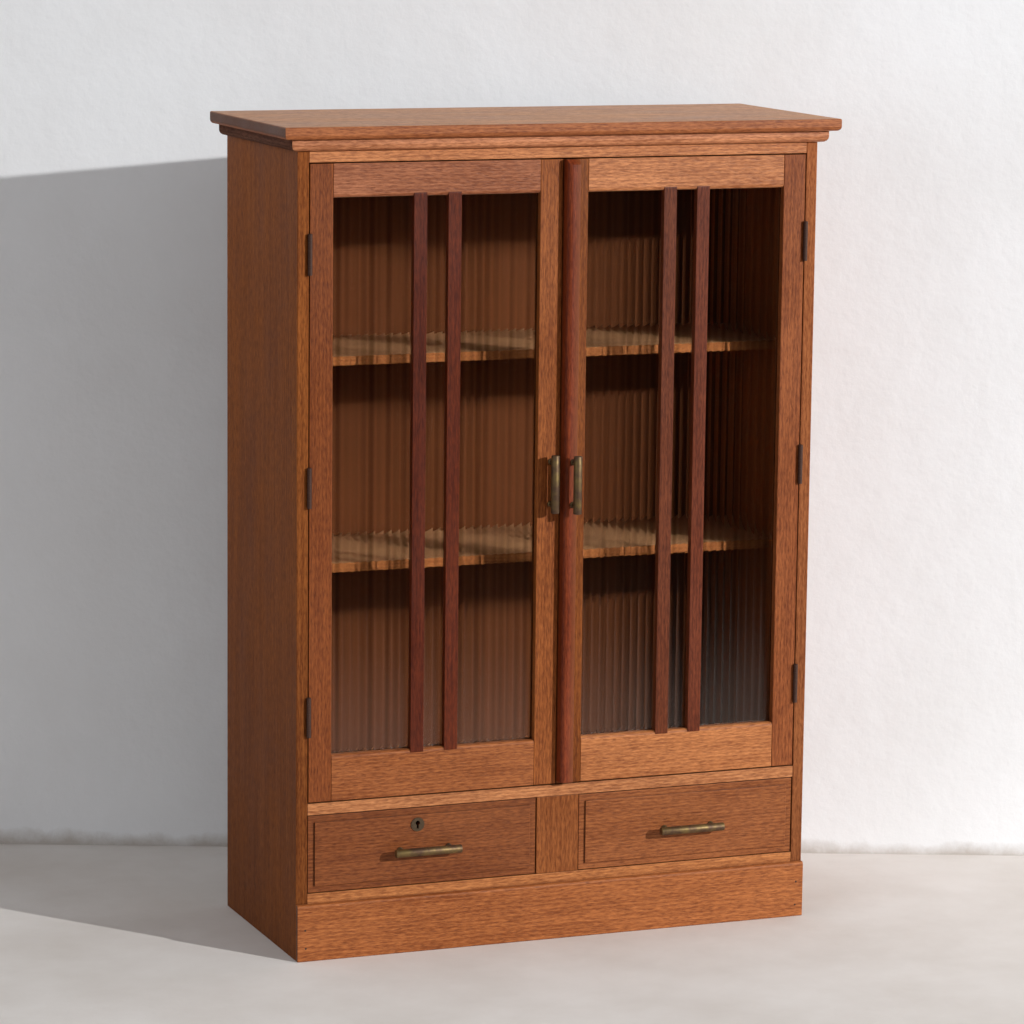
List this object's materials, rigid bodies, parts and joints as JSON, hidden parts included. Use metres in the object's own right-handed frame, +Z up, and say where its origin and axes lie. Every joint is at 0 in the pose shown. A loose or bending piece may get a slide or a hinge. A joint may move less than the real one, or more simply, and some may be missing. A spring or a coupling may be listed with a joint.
{
  "type": "display cabinet",
  "caption": "Upright wooden display cabinet with reeded-glass doors behind slim glazing bars, inner shelves, low drawers and bar handles, standing on a plinth.",
  "frame": {"origin": "on the ground, under the middle of the whole cabinet's bounding box", "axes": "+Z up, the doors and drawers face -Y, +X to the right when the cabinet is seen from its front"},
  "size_m": [0.959, 0.4144, 1.348],
  "materials": {
    "case_wood": "orange-brown hardwood, fine open pores, thin satin oil or wax",
    "bar_wood": "dark red-brown hardwood, satin",
    "inner_wood": "paler hardwood inside the case, matt",
    "lining_wood": "plain pale wood of the back and the drawer linings, matt",
    "reeded_glass": "clear glass with upright reeds on its face",
    "aged_brass": "dull olive aged brass",
    "dark_steel": "near-black aged steel"
  },
  "bodies": {
    "carcass": {"side_panel_left": "case_wood", "side_panel_right": "case_wood", "top_board": "case_wood", "cornice_moulding_front": "case_wood", "cornice_moulding_left": "case_wood", "cornice_moulding_right": "case_wood", "top_rail": "case_wood", "drawer_divider": "case_wood", "plinth_board": "case_wood", "back_panel": "lining_wood", "cabinet_floor": "case_wood", "bottom_board": "case_wood", "shelf_lower": "inner_wood", "shelf_upper": "inner_wood", "door_left_hinge_1_fixed_leaf": "dark_steel", "door_left_hinge_2_fixed_leaf": "dark_steel", "door_left_hinge_3_fixed_leaf": "dark_steel", "door_right_hinge_1_fixed_leaf": "dark_steel", "door_right_hinge_2_fixed_leaf": "dark_steel", "door_right_hinge_3_fixed_leaf": "dark_steel"},
    "door_left": {"door_left_hinge_stile": "case_wood", "door_left_meeting_stile": "case_wood", "door_left_top_rail": "case_wood", "door_left_bottom_rail": "case_wood", "door_left_bar_outer": "bar_wood", "door_left_bar_inner": "bar_wood", "door_left_glass": "reeded_glass", "door_left_glazing_beads": "case_wood", "door_left_handle": "aged_brass", "door_left_hinge_1_door_leaf": "dark_steel", "door_left_hinge_2_door_leaf": "dark_steel", "door_left_hinge_3_door_leaf": "dark_steel"},
    "door_right": {"door_right_hinge_stile": "case_wood", "door_right_meeting_stile": "case_wood", "door_right_top_rail": "case_wood", "door_right_bottom_rail": "case_wood", "door_right_bar_outer": "bar_wood", "door_right_bar_inner": "bar_wood", "door_right_glass": "reeded_glass", "door_right_glazing_beads": "case_wood", "meeting_strip": "bar_wood", "door_right_handle": "aged_brass", "door_right_hinge_1_door_leaf": "dark_steel", "door_right_hinge_2_door_leaf": "dark_steel", "door_right_hinge_3_door_leaf": "dark_steel"},
    "drawer_left": {"drawer_left_front": "case_wood", "drawer_left_side_left": "lining_wood", "drawer_left_side_right": "lining_wood", "drawer_left_back": "lining_wood", "drawer_left_bottom": "lining_wood", "drawer_left_handle": "aged_brass", "escutcheon": "aged_brass", "lock_case": "aged_brass"},
    "drawer_right": {"drawer_right_front": "case_wood", "drawer_right_side_left": "lining_wood", "drawer_right_side_right": "lining_wood", "drawer_right_back": "lining_wood", "drawer_right_bottom": "lining_wood", "drawer_right_handle": "aged_brass"},
    "lock_bolt": {"lock_bolt": "aged_brass"}
  },
  "joints": [
    {"name": "door_left_hinge", "type": "hinge", "parent": "carcass", "child": "door_left", "pos_m": [-0.43015, -0.1647, 0.77385], "axis": [0, 0, -1], "range_deg": [0, 170]},
    {"name": "door_right_hinge", "type": "hinge", "parent": "carcass", "child": "door_right", "pos_m": [0.43015, -0.1647, 0.77385], "axis": [0, 0, 1], "range_deg": [0, 170]},
    {"name": "drawer_left_slide", "type": "slide", "parent": "carcass", "child": "drawer_left", "axis": [0, -1, 0], "range_m": [0, 0.26]},
    {"name": "drawer_right_slide", "type": "slide", "parent": "carcass", "child": "drawer_right", "axis": [0, -1, 0], "range_m": [0, 0.26]},
    {"name": "lock_bolt_slide", "type": "slide", "parent": "drawer_left", "child": "lock_bolt", "axis": [0, 0, 1], "range_m": [0, 0.006]}
  ]
}
